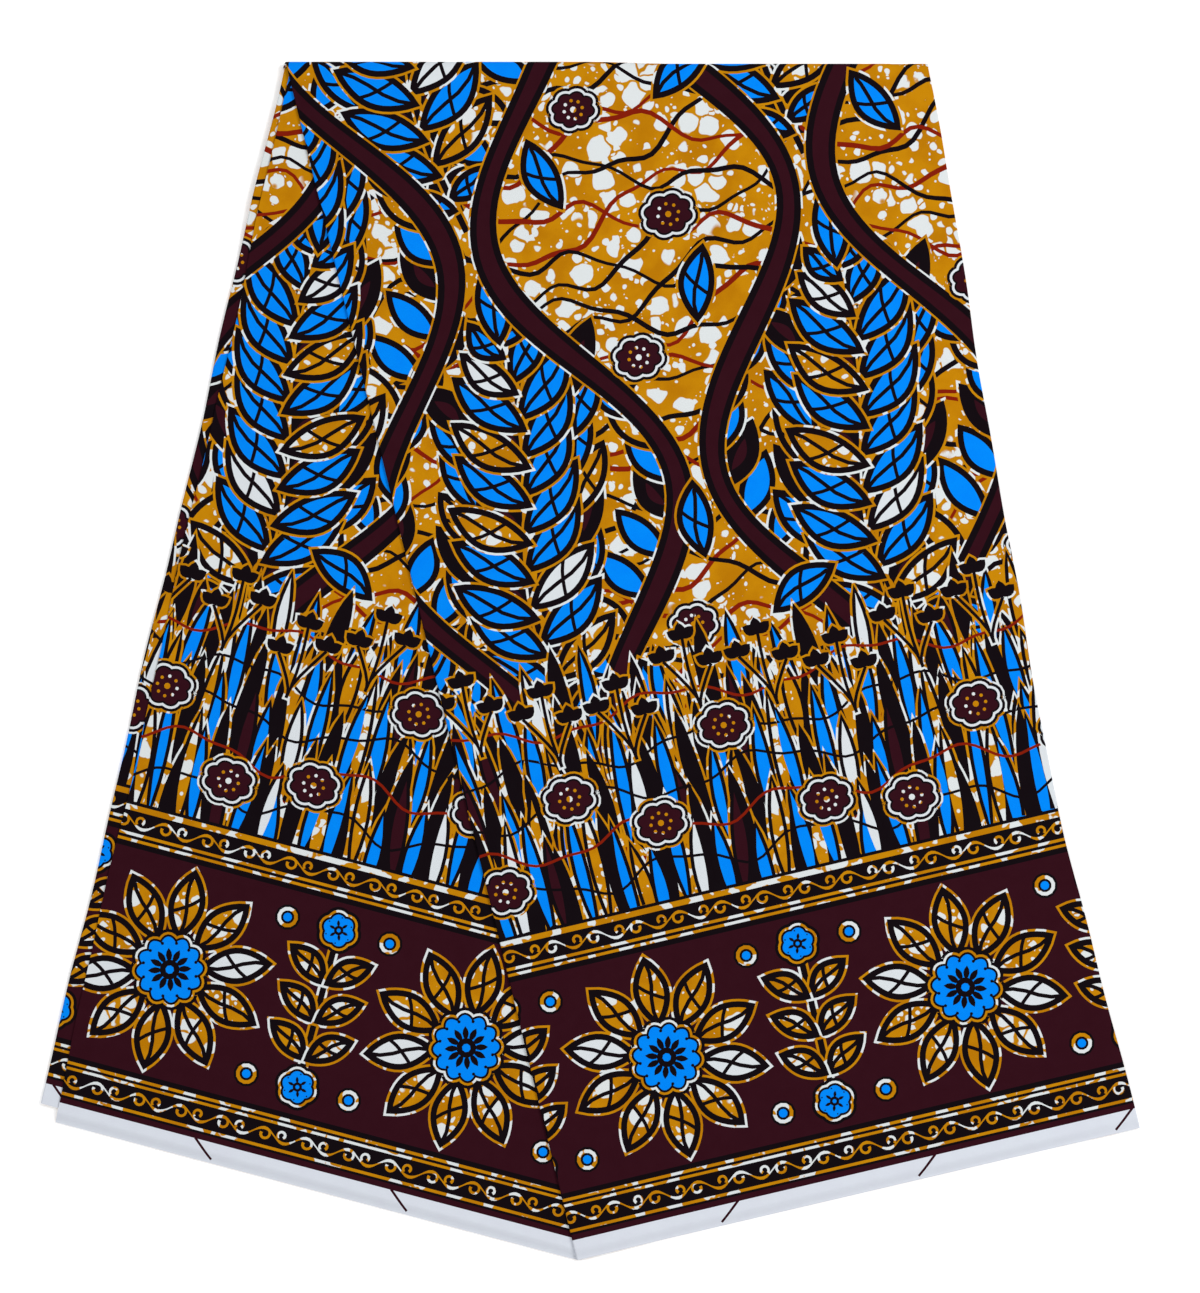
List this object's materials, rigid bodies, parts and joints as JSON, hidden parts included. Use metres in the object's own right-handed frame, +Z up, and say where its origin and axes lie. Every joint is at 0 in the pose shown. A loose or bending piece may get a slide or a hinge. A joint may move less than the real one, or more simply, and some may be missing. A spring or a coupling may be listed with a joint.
{
  "type": "folded wax print fabric",
  "caption": "Length of wax print cotton folded flat in a yard-wide stack, drawn into one fan pleat, with a printed border along its V-shaped hem.",
  "frame": {"origin": "on the surface that the cloth lies on, under the middle of its bounding box", "axes": "+Z up from the surface, +Y from the hem's apex towards the turned-under top fold, +X to the right seen from above with the hem nearest"},
  "size_m": [0.8966, 0.9766, 0.0114],
  "materials": {
    "wax_print": "smooth roller-printed cotton in ochre, blue, maroon, black and white with a crackled ground and a slight resin sheen",
    "layered_edge": "folded edges of the same printed cotton, print and selvedge showing in thin bands"
  },
  "bodies": {
    "root": {"front_right_panel": "wax_print", "front_left_panel": "wax_print", "second_layer": "wax_print", "hidden_layers": "layered_edge"}
  },
  "joints": []
}
